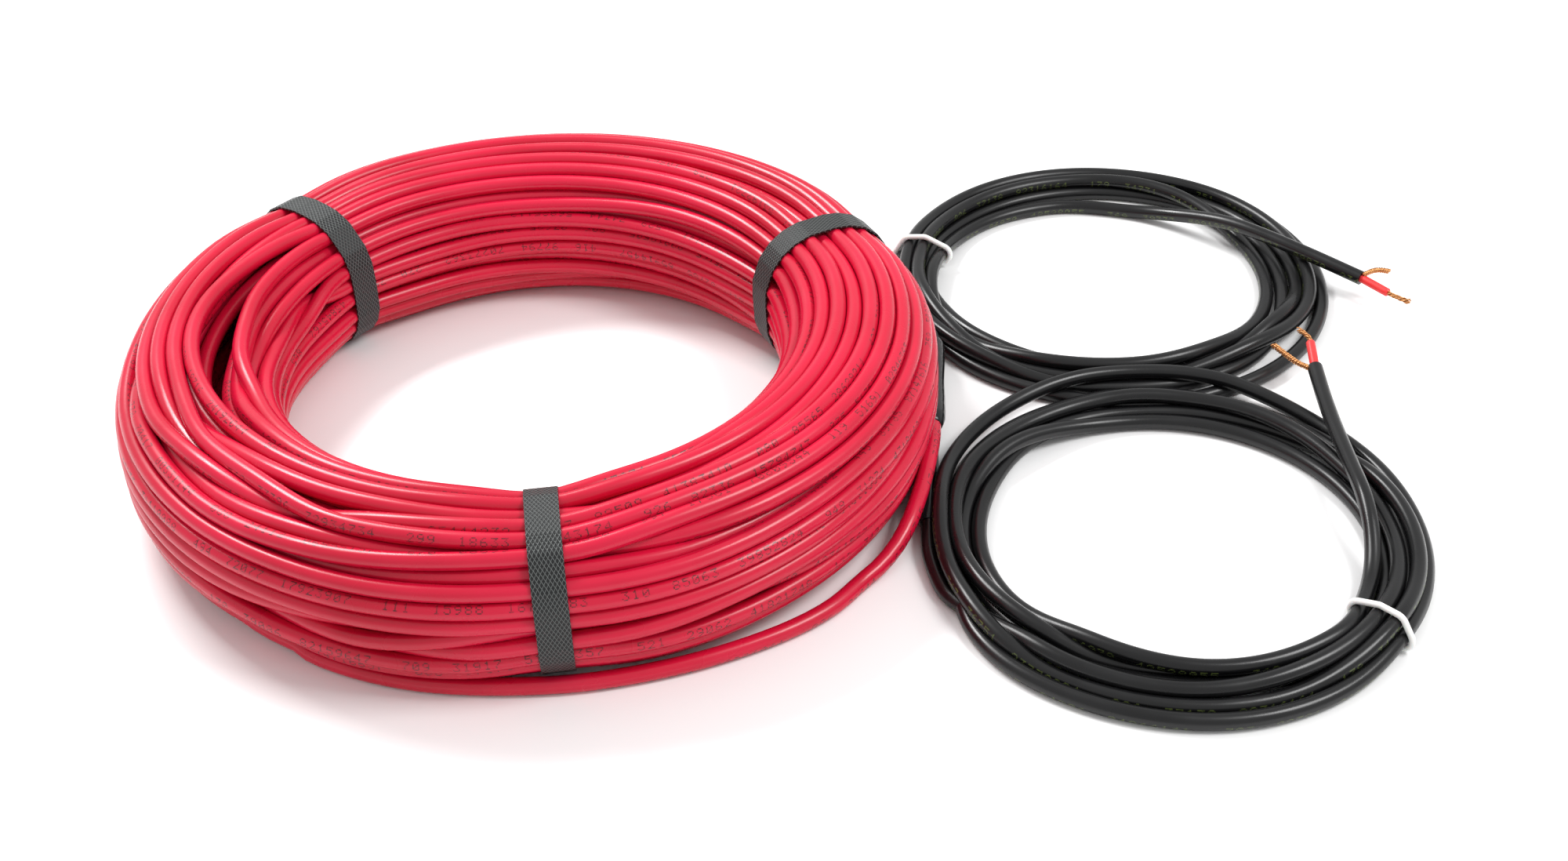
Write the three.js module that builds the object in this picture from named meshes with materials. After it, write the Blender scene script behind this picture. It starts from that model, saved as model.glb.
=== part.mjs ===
// Heating cable in a strapped coil, with two cold leads
//
// Millimetres, +Z up. The origin is on the floor under the middle of the red coil.
// The coil lies flat on the undersides of its three straps. A black splice sleeve at each
// end of the red cable joins it to a cold lead, and each lead is wound in a small coil of
// its own, tied once, with its bared end sticking out.
import * as THREE from 'three';

// Cable sizes
const cableDiameter = 5.4;
const leadDiameter = 5.2;
const coreDiameter = 2.7;
const coreLength = 12;
const conductorDiameter = 1.5;
const conductorLength = 9;
const screenDiameter = 1.6;

// Red coil
const coilOuterRadius = 132;
const coilBoreRadius = 85;
const coilHeight = 50;
const coilCornerRadius = 20;
const largestCornerShare = 0.45;
const turnPitch = 5.7;
const turnGroove = 1.2;

// Straps round the red coil, by their angle about Z
const strapWidth = 10;
const strapThickness = 0.6;
const frontStrapAngle = -83;
const rightStrapAngle = 26;
const leftStrapAngle = 140;

// Coils of the cold leads
const leadCoilRadius = 77;
const leadBoreRadius = 57;
const leadCoilHeight = 10.4;
const leadCornerRadius = 4.5;
const leadTurnPitch = 5.4;
const leadGroove = 1;
const frontLeadStandoff = 2;
const rearLeadStandoff = -3;
const frontLeadShift = -4;
const rearLeadShift = 9;

// Ties round the lead coils, by their angle about the middle of that coil
const tieWidth = 2.2;
const tieThickness = 2;
const frontTieAngle = -43;
const rearTieAngle = 166;

// Splice sleeves
const sleeveDiameter = 8.4;
const sleeveOnFloor = sleeveDiameter / 2;
const sleeveEndDiameter = 6.4;
const sleeveTaper = 5;

// Space between pieces that touch
const pieceGap = 0.3;

// How finely round things are drawn
const coilSegments = 40;
const tubeSides = 10;
const turnedSides = 12;
const fewestSteps = 4;
const cornerSegments = 6;
const stepsPerDiameter = 0.4;

const redPvc = new THREE.MeshStandardMaterial({ color: 0xe8283c, roughness: 0.35, metalness: 0 });
const blackPvc = new THREE.MeshStandardMaterial({ color: 0x1b1b1c, roughness: 0.4, metalness: 0 });
const blackWebbing = new THREE.MeshStandardMaterial({ color: 0x2b2d2e, roughness: 0.7, metalness: 0 });
const shrinkSleeve = new THREE.MeshStandardMaterial({ color: 0x0d0d0e, roughness: 0.2, metalness: 0 });
const whitePvc = new THREE.MeshStandardMaterial({ color: 0xf2f2f0, roughness: 0.4, metalness: 0 });
const coreRed = new THREE.MeshStandardMaterial({ color: 0xd81f26, roughness: 0.4, metalness: 0 });
const copper = new THREE.MeshStandardMaterial({ color: 0xb87333, roughness: 0.35, metalness: 1 });

const group = new THREE.Group();

function addMesh(name, geometry, material) {
  const mesh = new THREE.Mesh(geometry, material);
  mesh.name = name;
  group.add(mesh);
  return mesh;
}

// A point beside the red coil: its angle about Z in degrees, how far it stands off the
// coil's outer radius, and its height
function besideCoil([angle, standoff, height]) {
  const turn = THREE.MathUtils.degToRad(angle);
  const radius = coilOuterRadius + standoff;
  return new THREE.Vector3(radius * Math.cos(turn), radius * Math.sin(turn), height);
}

function roundedRectangle(OutlineClass, middleX, lowY, width, height, radius) {
  const left = middleX - width / 2;
  const right = middleX + width / 2;
  const top = lowY + height;
  const outline = new OutlineClass();
  outline.moveTo(left + radius, lowY);
  outline.lineTo(right - radius, lowY);
  outline.absarc(right - radius, lowY + radius, radius, -Math.PI / 2, 0, false);
  outline.lineTo(right, top - radius);
  outline.absarc(right - radius, top - radius, radius, 0, Math.PI / 2, false);
  outline.lineTo(left + radius, top);
  outline.absarc(left + radius, top - radius, radius, Math.PI / 2, Math.PI, false);
  outline.lineTo(left, lowY + radius);
  outline.absarc(left + radius, lowY + radius, radius, Math.PI, Math.PI * 1.5, false);
  return outline;
}

// The corner radius of a coil's section, no larger than its width and height have room for
function sectionCorner({ outerRadius, boreRadius, height, corner }) {
  return Math.min(corner, largestCornerShare * Math.min(outerRadius - boreRadius, height));
}

// A wound coil as one turned solid: its turns show as rounded ridges with grooves between
function coilRing(coil, { base, pitch, groove }) {
  const width = coil.outerRadius - coil.boreRadius;
  const middle = coil.boreRadius + width / 2;
  const corner = sectionCorner(coil);
  const section = roundedRectangle(THREE.Path, middle, base, width, coil.height, corner);
  const ridges = Math.round(section.getLength() / pitch);
  const pointsPerRidge = 3;
  const count = ridges * pointsPerRidge;
  const profile = [];
  for (let i = 0; i < count; i += 1) {
    const along = i / count;
    const point = section.getPointAt(along);
    const tangent = section.getTangentAt(along);
    const inset = i % pointsPerRidge === 0 ? groove : 0;
    profile.push(new THREE.Vector2(point.x - tangent.y * inset, point.y + tangent.x * inset));
  }
  profile.push(profile[0].clone());
  const ring = new THREE.LatheGeometry(profile, coilSegments);
  ring.rotateX(Math.PI / 2);
  return ring;
}

// A closed band round the section of a coil, standing off it by the gap, with its
// underside on the floor. The band is straight across, so it also clears the bore, which
// curves in towards it at the band's edges and between the corners of the turned ring.
function bandRoundCoil(coil, { width, thickness }) {
  const boreFlat = coil.boreRadius * Math.cos(Math.PI / coilSegments);
  const clearBore = Math.sqrt(boreFlat ** 2 - (width / 2) ** 2);
  const coilWidth = coil.outerRadius - clearBore;
  const middle = clearBore + coilWidth / 2;
  const corner = sectionCorner(coil);
  const outside = 2 * (thickness + pieceGap);
  const inside = 2 * pieceGap;
  const band = roundedRectangle(
    THREE.Shape, middle, 0, coilWidth + outside, coil.height + outside, corner + outside / 2,
  );
  band.holes.push(roundedRectangle(
    THREE.Path, middle, thickness, coilWidth + inside, coil.height + inside, corner + pieceGap,
  ));
  const geometry = new THREE.ExtrudeGeometry(band, {
    depth: width, bevelEnabled: false, curveSegments: cornerSegments,
  });
  geometry.translate(0, 0, -width / 2);
  geometry.rotateX(Math.PI / 2);
  return geometry;
}

// A length of cable along a smooth curve through the points
function cableAlong(points, diameter) {
  const route = new THREE.CatmullRomCurve3(points, false, 'centripetal');
  const section = new THREE.Shape();
  for (let i = 0; i < tubeSides; i += 1) {
    const turn = (i / tubeSides) * 2 * Math.PI;
    const x = (Math.cos(turn) * diameter) / 2;
    const y = (Math.sin(turn) * diameter) / 2;
    if (i === 0) section.moveTo(x, y);
    else section.lineTo(x, y);
  }
  section.closePath();
  const steps = Math.max(fewestSteps, Math.ceil((route.getLength() / diameter) * stepsPerDiameter));
  return new THREE.ExtrudeGeometry(section, { steps, bevelEnabled: false, extrudePath: route });
}

// A turned piece from its profile of [radius, distance], laid from one point towards another
function turnedBetween(name, profile, start, end, material) {
  const points = profile.map(([radius, distance]) => new THREE.Vector2(radius, distance));
  const mesh = addMesh(name, new THREE.LatheGeometry(points, turnedSides), material);
  const direction = end.clone().sub(start).normalize();
  mesh.position.copy(start);
  mesh.quaternion.setFromUnitVectors(new THREE.Vector3(0, 1, 0), direction);
  return mesh;
}

function rodBetween(name, start, end, diameter, material) {
  const length = end.distanceTo(start);
  const radius = diameter / 2;
  const profile = [[0, 0], [radius, 0], [radius, length], [0, length]];
  return turnedBetween(name, profile, start, end, material);
}

// Red coil and its straps
const redCoil = {
  outerRadius: coilOuterRadius,
  boreRadius: coilBoreRadius,
  height: coilHeight,
  corner: coilCornerRadius,
};
addMesh('heating_cable_coil', coilRing(redCoil, {
  base: strapThickness + pieceGap, pitch: turnPitch, groove: turnGroove,
}), redPvc);

const strapAngles = {
  strap_front: frontStrapAngle, strap_right: rightStrapAngle, strap_left: leftStrapAngle,
};
for (const [name, angle] of Object.entries(strapAngles)) {
  const band = bandRoundCoil(redCoil, { width: strapWidth, thickness: strapThickness });
  addMesh(name, band, blackWebbing).rotation.z = THREE.MathUtils.degToRad(angle);
}

// Splice sleeves: the front one lies on the floor beside the coil, and the rear one lies
// across its back end. Each is given from its end at the red cable to its end at the lead.
const frontSleeve = {
  red: besideCoil([-2.2, -1.5, sleeveOnFloor]),
  lead: besideCoil([-25.2, 8.9, sleeveOnFloor]),
};
const rearSleeve = {
  red: besideCoil([-8.1, 3.3, 12.4]),
  lead: besideCoil([14.7, 10.1, 9.5]),
};

function spliceSleeve(name, { red, lead }) {
  const length = lead.distanceTo(red);
  const radius = sleeveDiameter / 2;
  const endRadius = sleeveEndDiameter / 2;
  const profile = [
    [0, 0], [endRadius, 0], [radius, sleeveTaper],
    [radius, length - sleeveTaper], [endRadius, length], [0, length],
  ];
  turnedBetween(name, profile, red, lead, shrinkSleeve);
}
spliceSleeve('splice_sleeve_front', frontSleeve);
spliceSleeve('splice_sleeve_rear', rearSleeve);

// The first points of a cable that meets a sleeve: just off the sleeve's end, and one
// diameter further, straight on along its axis
function outOfSleeve(farEnd, nearEnd, diameter) {
  const direction = nearEnd.clone().sub(farEnd).normalize();
  return [
    nearEnd.clone().addScaledVector(direction, pieceGap),
    nearEnd.clone().addScaledVector(direction, pieceGap + diameter),
  ];
}

// Short tail of red cable from the front sleeve to the foot of the coil
const tailRoute = [
  [3, -2.3, 3.9],
  [6.5, -3.4, 3.3],
  [11, -4.7, 2.7],
  [17.3, -5.9, 2.7],
];
addMesh('heating_cable_tail', cableAlong(
  [...outOfSleeve(frontSleeve.lead, frontSleeve.red, cableDiameter), ...tailRoute.map(besideCoil)],
  cableDiameter,
), redPvc);

// Free loop of red cable: out of the rear sleeve, over the front sleeve, and round the
// front of the coil on the floor until it joins the lowest turn
const loopRoute = [
  [-13.5, 4.1, 12.7],
  [-18.4, 4.5, 12.2],
  [-24, 5.4, 11.5],
  [-28.8, 6.1, 9],
  [-32.4, 5.4, 6],
  [-35.9, 4.5, 3.8],
  [-38.9, 3.4, 2.7],
  [-45.5, 4, 2.7],
  [-53, 2.5, 2.7],
  [-64, -0.5, 2.7],
  [-74.3, -2.6, 2.7],
  [-83, -3.7, 2.7],
  [-94.8, -4.6, 2.7],
  [-103.2, -4.7, 2.7],
  [-111, -5.3, 2.7],
  [-118, -5.9, 2.7],
];
addMesh('heating_cable_loop', cableAlong(
  [...outOfSleeve(rearSleeve.lead, rearSleeve.red, cableDiameter), ...loopRoute.map(besideCoil)],
  cableDiameter,
), redPvc);

// Coils of the cold leads
const leadCoil = {
  outerRadius: leadCoilRadius,
  boreRadius: leadBoreRadius,
  height: leadCoilHeight,
  corner: leadCornerRadius,
};
const frontLeadMiddle = new THREE.Vector3(
  coilOuterRadius + leadCoilRadius + frontLeadStandoff, -leadCoilRadius - frontLeadShift, 0,
);
const rearLeadMiddle = new THREE.Vector3(
  coilOuterRadius + leadCoilRadius + rearLeadStandoff, leadCoilRadius + rearLeadShift, 0,
);

function leadCoilWithTie(side, middle, tieAngle) {
  const ring = coilRing(leadCoil, {
    base: tieThickness + pieceGap, pitch: leadTurnPitch, groove: leadGroove,
  });
  addMesh(`${side}_lead_coil`, ring, blackPvc).position.copy(middle);
  const tie = bandRoundCoil(leadCoil, { width: tieWidth, thickness: tieThickness });
  const tieMesh = addMesh(`${side}_lead_tie`, tie, whitePvc);
  tieMesh.position.copy(middle);
  tieMesh.rotation.z = THREE.MathUtils.degToRad(tieAngle);
}
leadCoilWithTie('front', frontLeadMiddle, frontTieAngle);
leadCoilWithTie('rear', rearLeadMiddle, rearTieAngle);

// Starts of the cold leads, from their sleeves to the outside of their coils
const frontStartRoute = [
  [-29.3, 13.2, 3.8],
  [-32.4, 20.8, 3],
  [-35.4, 30.6, 2.6],
  [-36.8, 42.8, 2.8],
];
const rearStartRoute = [
  [19.5, 9.8, 7.2],
  [22.6, 8.3, 4.2],
  [26, 9.4, 2.8],
  [28.5, 15.6, 2.8],
];
addMesh('front_lead_start', cableAlong(
  [...outOfSleeve(frontSleeve.red, frontSleeve.lead, leadDiameter), ...frontStartRoute.map(besideCoil)],
  leadDiameter,
), blackPvc);
addMesh('rear_lead_start', cableAlong(
  [...outOfSleeve(rearSleeve.red, rearSleeve.lead, leadDiameter), ...rearStartRoute.map(besideCoil)],
  leadDiameter,
), blackPvc);

// Free ends of the cold leads, from the inside of their coils over the turns to the cut
// end. The points are counted from the middle of the lead's coil.
const frontEndRoute = [
  [48, -24.4, 5],
  [50.8, -16.5, 6.6],
  [52.4, -8.5, 9.8],
  [52.9, -0.5, 13.4],
  [52.8, 9, 15.9],
  [52.6, 23, 16],
  [52.5, 37, 16],
  [52.6, 50, 16],
  [53.1, 65, 16.2],
  [53.9, 80.5, 16.8],
];
const rearEndRoute = [
  [-24.6, 47.8, 5],
  [-14, 51.6, 5.2],
  [-2.5, 53, 5.6],
  [10, 51.6, 6.6],
  [22.5, 46, 8.6],
  [33.5, 37.5, 11.6],
  [42.5, 29, 14.6],
  [50, 22, 16],
  [60, 12.5, 16],
  [75, -1.7, 16],
  [90.5, -17.5, 16],
];

// The bared end of a lead: the red insulated core straight on from the cut sheath, its
// conductor, and the screen wires twisted together and bent aside
function baredEnd(side, middle, route, { coreTip, conductorTip, screenRoute }) {
  const points = route.map(([x, y, z]) => new THREE.Vector3(x, y, z).add(middle));
  addMesh(`${side}_lead_end`, cableAlong(points, leadDiameter), blackPvc);
  const cut = points[points.length - 1];
  const coreWay = new THREE.Vector3(...coreTip).normalize();
  const coreStart = cut.clone().addScaledVector(coreWay, pieceGap);
  const coreEnd = coreStart.clone().addScaledVector(coreWay, coreLength);
  rodBetween(`${side}_lead_core`, coreStart, coreEnd, coreDiameter, coreRed);
  const conductorWay = new THREE.Vector3(...conductorTip).normalize();
  const conductorStart = coreEnd.clone().addScaledVector(coreWay, pieceGap * 2);
  const conductorEnd = conductorStart.clone().addScaledVector(conductorWay, conductorLength);
  rodBetween(`${side}_lead_conductor`, conductorStart, conductorEnd, conductorDiameter, copper);
  const screenPoints = screenRoute.map(([x, y, z]) => new THREE.Vector3(x, y, z).add(cut));
  addMesh(`${side}_lead_screen`, cableAlong(screenPoints, screenDiameter), copper);
}

baredEnd('front', frontLeadMiddle, frontEndRoute, {
  coreTip: [0.06, 0.97, 0.22],
  conductorTip: [-0.25, 0.96, -0.1],
  screenRoute: [[-2.7, 1.2, -0.6], [-5.2, 5, -0.8], [-7.6, 10.4, -1.2], [-10.4, 16.6, -1.6]],
});
baredEnd('rear', rearLeadMiddle, rearEndRoute, {
  coreTip: [0.62, -0.78, -0.06],
  conductorTip: [0.85, -0.5, -0.15],
  screenRoute: [[2.4, 0.6, 0.9], [5, 0.9, 2.1], [7.8, 0.2, 2.4], [10.4, -0.6, 2]],
});

export default group;
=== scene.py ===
import math
import bmesh
import bpy
import numpy as np
from mathutils import Matrix, Vector


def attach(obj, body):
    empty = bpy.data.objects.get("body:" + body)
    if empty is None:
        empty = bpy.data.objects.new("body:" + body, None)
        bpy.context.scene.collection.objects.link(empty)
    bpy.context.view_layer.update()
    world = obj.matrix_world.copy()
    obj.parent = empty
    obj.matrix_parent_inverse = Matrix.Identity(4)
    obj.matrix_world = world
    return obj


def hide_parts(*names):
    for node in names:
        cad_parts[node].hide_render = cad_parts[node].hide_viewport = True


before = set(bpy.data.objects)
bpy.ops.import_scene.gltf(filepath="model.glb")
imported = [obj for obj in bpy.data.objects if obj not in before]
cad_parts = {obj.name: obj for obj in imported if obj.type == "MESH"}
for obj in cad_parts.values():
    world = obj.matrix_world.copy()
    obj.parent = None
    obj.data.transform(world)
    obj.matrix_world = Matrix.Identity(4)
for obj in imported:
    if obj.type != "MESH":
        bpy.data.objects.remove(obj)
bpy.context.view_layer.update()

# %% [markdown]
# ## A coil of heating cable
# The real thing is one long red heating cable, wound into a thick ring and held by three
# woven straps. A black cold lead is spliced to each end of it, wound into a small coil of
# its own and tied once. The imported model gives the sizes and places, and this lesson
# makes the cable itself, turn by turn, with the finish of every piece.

MM = 0.001
dice = np.random.default_rng(27)

# %% [markdown]
# ## Camera first
# The photograph looks down at about 36 degrees from the front. The camera comes before
# anything else, because the cords are checked against what it sees.

# %% Camera at the photograph's angle
IMAGE_WIDTH = 2000
FOCAL_LENGTH_IN_PIXELS = 2598.9
SENSOR_WIDTH = 36.0
CAMERA_PLACE = Vector((82.66, -563.45, 407.86)) * MM
CAMERA_PITCH = math.radians(35.976)
CAMERA_ROLL = math.radians(-1.707)

camera_data = bpy.data.cameras.new("camera")
camera_data.sensor_width = SENSOR_WIDTH
camera_data.lens = FOCAL_LENGTH_IN_PIXELS / IMAGE_WIDTH * SENSOR_WIDTH
camera = bpy.data.objects.new("camera", camera_data)
tilt = Matrix.Rotation(math.pi / 2 - CAMERA_PITCH, 4, "X")
camera.matrix_world = Matrix.Translation(CAMERA_PLACE) @ tilt @ Matrix.Rotation(CAMERA_ROLL, 4, "Z")
bpy.context.collection.objects.link(camera)
bpy.context.scene.camera = camera
print("lens", round(camera_data.lens, 2), "mm")

# %% [markdown]
# ## Sizes of the cable and its coils
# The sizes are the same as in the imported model, in metres. Places beside the red coil are
# given as an angle about Z in degrees, a distance off the coil's outer radius and a
# height, both in millimetres, because that is how a cable lies against a round coil. The
# rear sleeve and the start of the free loop lie about two millimetres closer to the turns
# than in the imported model, as they do in the photograph.

# %% Sizes, and a place beside the red coil
CABLE_DIAMETER = 0.0054
LEAD_DIAMETER = 0.0052
COIL_OUTER_RADIUS = 0.132
COIL_BORE_RADIUS = 0.085
COIL_HEIGHT = 0.050
COIL_CORNER = 0.020
STRAP_WIDTH = 0.010
STRAP_THICKNESS = 0.0006
PIECE_GAP = 0.0003
SLEEVE_DIAMETER = 0.0084
STRAP_ANGLES = {"strap_front": -83, "strap_right": 26, "strap_left": 140}


def beside_coil(place):
    angle, standoff, height = place
    turn = math.radians(angle)
    radius = COIL_OUTER_RADIUS + standoff * MM
    return np.array([radius * math.cos(turn), radius * math.sin(turn), height * MM])


def beside_coil_all(places):
    return [beside_coil(place) for place in places]


def out_of_sleeve(far_end, near_end, diameter):
    direction = (near_end - far_end) / np.linalg.norm(near_end - far_end)
    return [near_end + direction * PIECE_GAP, near_end + direction * (PIECE_GAP + diameter)]


sleeve_on_floor = SLEEVE_DIAMETER / 2 / MM
front_sleeve = {
    "red": beside_coil([-2.2, -1.5, sleeve_on_floor]),
    "lead": beside_coil([-25.2, 8.9, sleeve_on_floor]),
}
rear_sleeve = {"red": beside_coil([-8.1, 1.2, 12.7]), "lead": beside_coil([14.7, 8.6, 9.8])}
print("front sleeve", np.linalg.norm(front_sleeve["lead"] - front_sleeve["red"]).round(4), "m long")

# %% [markdown]
# ## One smooth curve through chosen points
# A cable is springy, so it never turns a corner. A centripetal Catmull-Rom curve runs
# through every chosen point without loops or overshoot, and sampling it at even steps
# gives each ring of the cable's skin the same length.

# %% Smooth curves and even steps


def curve_between(p0, p1, p2, p3, steps):
    knots = [0.0]
    for a, b in ((p0, p1), (p1, p2), (p2, p3)):
        knots.append(knots[-1] + math.sqrt(max(np.linalg.norm(b - a), 1e-9)))
    k0, k1, k2, k3 = knots
    t = np.linspace(k1, k2, steps, endpoint=False)[:, None]
    a1 = (k1 - t) / (k1 - k0) * p0 + (t - k0) / (k1 - k0) * p1
    a2 = (k2 - t) / (k2 - k1) * p1 + (t - k1) / (k2 - k1) * p2
    a3 = (k3 - t) / (k3 - k2) * p2 + (t - k2) / (k3 - k2) * p3
    b1 = (k2 - t) / (k2 - k0) * a1 + (t - k0) / (k2 - k0) * a2
    b2 = (k3 - t) / (k3 - k1) * a2 + (t - k1) / (k3 - k1) * a3
    return (k2 - t) / (k2 - k1) * b1 + (t - k1) / (k2 - k1) * b2


def smooth_route(points, steps=16):
    points = [np.asarray(p, float) for p in points]
    ends = [2 * points[0] - points[1]] + points + [2 * points[-1] - points[-2]]
    parts = [curve_between(*ends[i:i + 4], steps) for i in range(len(points) - 1)]
    return np.vstack(parts + [points[-1][None]])


def run_length(route):
    return float(np.linalg.norm(np.diff(route, axis=0), axis=1).sum())


def even_steps(route, step):
    along = np.concatenate([[0], np.cumsum(np.linalg.norm(np.diff(route, axis=0), axis=1))])
    count = max(2, int(round(along[-1] / step)) + 1)
    wanted = np.linspace(0, along[-1], count)
    return np.stack([np.interp(wanted, along, route[:, axis]) for axis in range(3)], axis=1)


# %% [markdown]
# ## The two stretches of red cable that lie free
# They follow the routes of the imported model: a short tail from the front sleeve to the
# foot of the coil, and a long loop that passes round the front of the coil on the floor,
# climbs over the front sleeve and reaches the rear one. The loop's first four points keep
# in line with the rear sleeve.

# %% Tail and loop of the red cable
TAIL_ROUTE = [
    [3, -2.3, 3.9], [6.5, -3.4, 3.3], [11, -4.7, 2.7], [17.3, -5.9, 2.7],
]
LOOP_ROUTE = [
    [-13.5, 2, 12.9], [-18.4, 2.8, 12.4], [-24, 4.4, 11.7], [-28.8, 5.6, 9.2],
    [-32.4, 5.4, 6], [-35.9, 4.5, 3.8], [-38.9, 3.4, 2.7], [-45.5, 4, 2.7],
    [-53, 2.5, 2.7], [-64, -0.5, 2.7], [-74.3, -2.6, 2.7], [-83, -3.7, 2.7],
    [-94.8, -4.6, 2.7], [-103.2, -4.7, 2.7], [-111, -5.3, 2.7], [-118, -5.9, 2.7],
]
tail_points = out_of_sleeve(front_sleeve["lead"], front_sleeve["red"], CABLE_DIAMETER)
tail_points += beside_coil_all(TAIL_ROUTE)
loop_points = out_of_sleeve(rear_sleeve["lead"], rear_sleeve["red"], CABLE_DIAMETER)
loop_points += beside_coil_all(LOOP_ROUTE)
print("tail", len(tail_points), "points, loop", len(loop_points), "points")

# %% [markdown]
# ## Places for the turns in the coil's section
# Cut across, the coil is a rounded rectangle full of round turns. They start on the
# points of a honeycomb, whose pitch is found by trying: the widest that still holds
# every turn.

# %% Slots in the section
TURNS = 54
SECTION_MIDDLE = np.array([
    (COIL_OUTER_RADIUS + COIL_BORE_RADIUS) / 2, COIL_HEIGHT / 2 + STRAP_THICKNESS + PIECE_GAP,
])
SECTION_HALF = np.array([(COIL_OUTER_RADIUS - COIL_BORE_RADIUS) / 2, COIL_HEIGHT / 2])


def outside_section(place, margin):
    """How far a point is outside the section drawn in by the margin, and the way out."""
    corner = COIL_CORNER - margin
    from_middle = place - SECTION_MIDDLE
    over = np.abs(from_middle) - (SECTION_HALF - margin - corner)
    beyond = np.maximum(over, 0)
    reach = np.linalg.norm(beyond, axis=-1)
    way = np.where(reach[..., None] > 0, beyond, over == over.max(-1, keepdims=True))
    way = way * np.sign(from_middle)
    way = way / np.maximum(np.linalg.norm(way, axis=-1, keepdims=True), 1e-9)
    distance = reach + np.minimum(over.max(-1), 0) - corner
    return distance, way


EDGE_REACH = 0.0014


def honeycomb(pitch):
    columns = np.arange(-9, 10)
    rows = np.arange(-9, 10)
    x, y = np.meshgrid(columns, rows)
    x = x + 0.5 * (y % 2)
    places = np.stack([x * pitch, y * pitch * math.sqrt(3) / 2], -1).reshape(-1, 2)
    places = places + SECTION_MIDDLE + 0.25 * pitch
    return places[outside_section(places, CABLE_DIAMETER / 2)[0] < EDGE_REACH]


pitch = 0.008
while len(honeycomb(pitch)) < TURNS + 1:
    pitch -= 0.00002
slots = honeycomb(pitch)
print(len(slots), "slots at a pitch of", round(pitch / MM, 2), "mm")

# %% [markdown]
# ## The order in which the slots are filled
# The cable moves from its slot to a neighbouring one with every turn. A short tour of all
# the slots gives such an order. It starts and ends low on the outside, where the two free
# ends are. A few pairs are then swapped, because such a coil is never wound perfectly.

# %% A short tour of the slots
FOOT = np.array([COIL_OUTER_RADIUS - 0.0059, CABLE_DIAMETER / 2])


def hop(a, b):
    return np.linalg.norm(slots[a] - slots[b])


from_foot = np.linalg.norm(slots - FOOT, axis=1)
order = list(np.argsort(from_foot))
first, last = order[0], order[1]
tour = [first] + [s for s in np.argsort(slots @ np.array([1.0, 0.02])) if s not in (first, last)] + [last]
improved = True
while improved:
    improved = False
    for i in range(1, len(tour) - 2):
        for j in range(i + 1, len(tour) - 1):
            before = hop(tour[i - 1], tour[i]) + hop(tour[j], tour[j + 1])
            after = hop(tour[i - 1], tour[j]) + hop(tour[i], tour[j + 1])
            if after < before - 1e-9:
                tour[i:j + 1] = tour[i:j + 1][::-1]
                improved = True
SWAPS = 9
for _ in range(SWAPS):
    i = int(dice.integers(2, len(tour) - 5))
    j = i + int(dice.integers(2, 4))
    tour[i], tour[j] = tour[j], tour[i]
tour = tour[:TURNS + 1]
print("tour of", len(tour), "slots")

# %% [markdown]
# ## Winding and settling the turns
# Each turn is a row of stations round the coil. It keeps its slot for part of the way and
# moves to the next one over a stretch of its own. The turns are then pushed apart where
# they run into each other, drawn smooth along the cable, spread a little, and kept
# inside the section, which the straps draw in. That gives the slight crossings and humps
# of a real coil. On its left there is a dip between an inner and an outer group, so a
# phantom rod there holds the groups apart.

# %% Stations round the coil
STATIONS = 120
START_ANGLE = 17.3
END_ANGLE = -118.0
station_angles = START_ANGLE + np.arange(STATIONS) * 360 / STATIONS
unused = int(round((START_ANGLE - END_ANGLE) / 360 * STATIONS))
used = TURNS * STATIONS - unused
tour_places = slots[tour]

share = np.arange(STATIONS) / STATIONS
turns_place = np.zeros((TURNS, STATIONS, 2))
for turn in range(TURNS):
    width = dice.uniform(0.3, 0.7)
    start = np.clip(dice.normal(0.5, 0.2), width / 2, 1 - width / 2) - width / 2
    moved = np.clip((share - start) / width, 0, 1)
    moved = (moved * moved * (3 - 2 * moved))[:, None]
    turns_place[turn] = tour_places[turn] * (1 - moved) + tour_places[turn + 1] * moved
print("stations", STATIONS, "a turn,", used, "in use")

# %% What the turns have to clear


def beside_route(points):
    """Radius and height of a free stretch at each station that it passes, far away elsewhere."""
    route = smooth_route(points)
    angle = np.degrees(np.arctan2(route[:, 1], route[:, 0]))
    radius = np.hypot(route[:, 0], route[:, 1])
    row = np.full((STATIONS, 2), 1.0)
    for station, wanted in enumerate((station_angles + 180) % 360 - 180):
        nearest = int(np.argmin(np.abs(angle - wanted)))
        if abs(angle[nearest] - wanted) < 2:
            row[station] = radius[nearest], route[nearest, 2]
    return row


def bump_near(angle, middle, width):
    away = (angle - middle + 180) % 360 - 180
    return np.exp(-(away / width) ** 2)


DIP_ANGLE = 183
DIP_PLACE = np.array([0.1015, 0.045])
DIP_CLEARANCE = 0.0090
dip_row = np.tile(DIP_PLACE, (STATIONS, 1))
dip_reach = DIP_CLEARANCE * bump_near(station_angles, DIP_ANGLE, 34)
past_cable = np.full(STATIONS, CABLE_DIAMETER)
past_sleeve = np.full(STATIONS, (CABLE_DIAMETER + SLEEVE_DIAMETER) / 2)
sleeve_rows = [
    beside_route([ends["red"] * (1 - share) + ends["lead"] * share for share in np.linspace(0, 1, 9)])
    for ends in (front_sleeve, rear_sleeve)
]
fixed_rows = np.stack([beside_route(tail_points), beside_route(loop_points)] + sleeve_rows + [dip_row])
fixed_reach = np.stack([past_cable, past_cable, past_sleeve, past_sleeve, dip_reach])
strap_pull = sum(bump_near(station_angles, angle, 9) for angle in STRAP_ANGLES.values())
strap_pull = np.clip(strap_pull, 0, 1)
print("obstacle rows", fixed_rows.shape[0])

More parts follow.
